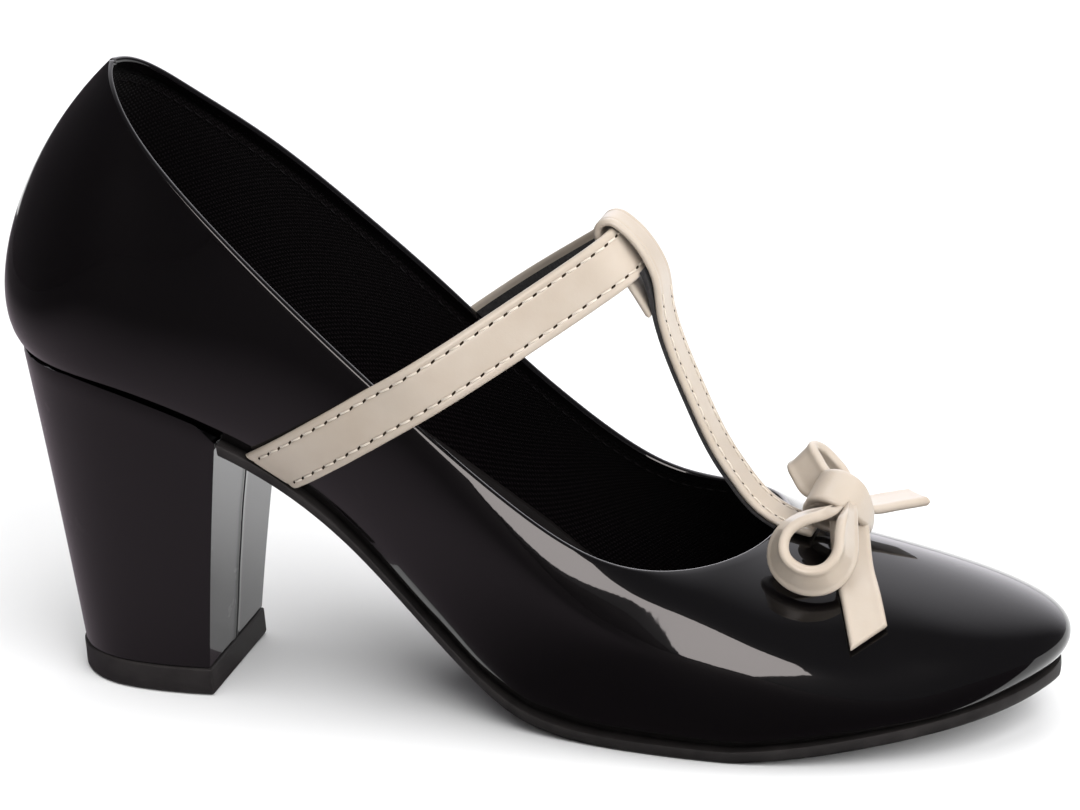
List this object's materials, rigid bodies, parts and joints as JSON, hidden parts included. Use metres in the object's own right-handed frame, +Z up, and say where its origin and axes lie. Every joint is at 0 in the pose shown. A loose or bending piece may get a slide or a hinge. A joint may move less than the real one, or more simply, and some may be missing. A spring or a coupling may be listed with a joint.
{
  "type": "mary jane pump",
  "caption": "Women's mary jane pump for the left foot: glossy black upper, wrapped block heel, ivory cross strap and T-strap, tied ribbon bow on the throat.",
  "frame": {"origin": "centre of the shoe's outline on the floor plane it stands on", "axes": "+X towards the toe, +Y towards the outer side of the foot, +Z up"},
  "size_m": [0.2362, 0.0768, 0.1427],
  "materials": {
    "patent_black": "glossy black patent leather over a textile lining",
    "ivory_leather": "smooth ivory leather with a low sheen",
    "sole_rubber": "matt black rubber",
    "sock_lining": "smooth dark sock lining"
  },
  "bodies": {
    "root": {"upper": "patent_black", "heel": "patent_black", "cross_strap": "ivory_leather", "t_strap": "ivory_leather", "bow_loop_near": "ivory_leather", "bow_loop_far": "ivory_leather", "bow_knot": "ivory_leather", "bow_tail_near": "ivory_leather", "bow_tail_far": "ivory_leather", "outsole": "sole_rubber", "heel_tip": "sole_rubber", "insole": "sock_lining"}
  },
  "joints": []
}
